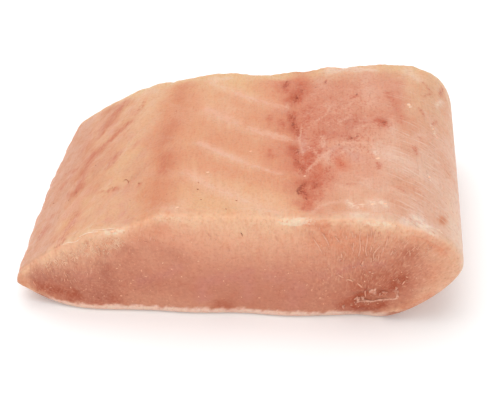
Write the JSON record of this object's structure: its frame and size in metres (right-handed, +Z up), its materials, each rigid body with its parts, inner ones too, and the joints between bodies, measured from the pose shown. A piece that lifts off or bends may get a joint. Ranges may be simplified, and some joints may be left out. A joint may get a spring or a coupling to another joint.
{
  "type": "raw fish fillet portion",
  "caption": "Thick block of raw skinless snook, cut straight across at both ends, thin at the belly edge and round at the back edge, flat underneath.",
  "frame": {"origin": "middle of the footprint's bounding box, on the surface that the fillet rests on", "axes": "+X across the fish from the thin belly edge to the thick back edge, +Y along the fish from the front cut to the rear cut, +Z up"},
  "size_m": [0.1342, 0.086, 0.0375],
  "materials": {
    "raw_flesh": "satin"
  },
  "bodies": {
    "root": {"fillet": "raw_flesh"}
  },
  "joints": []
}
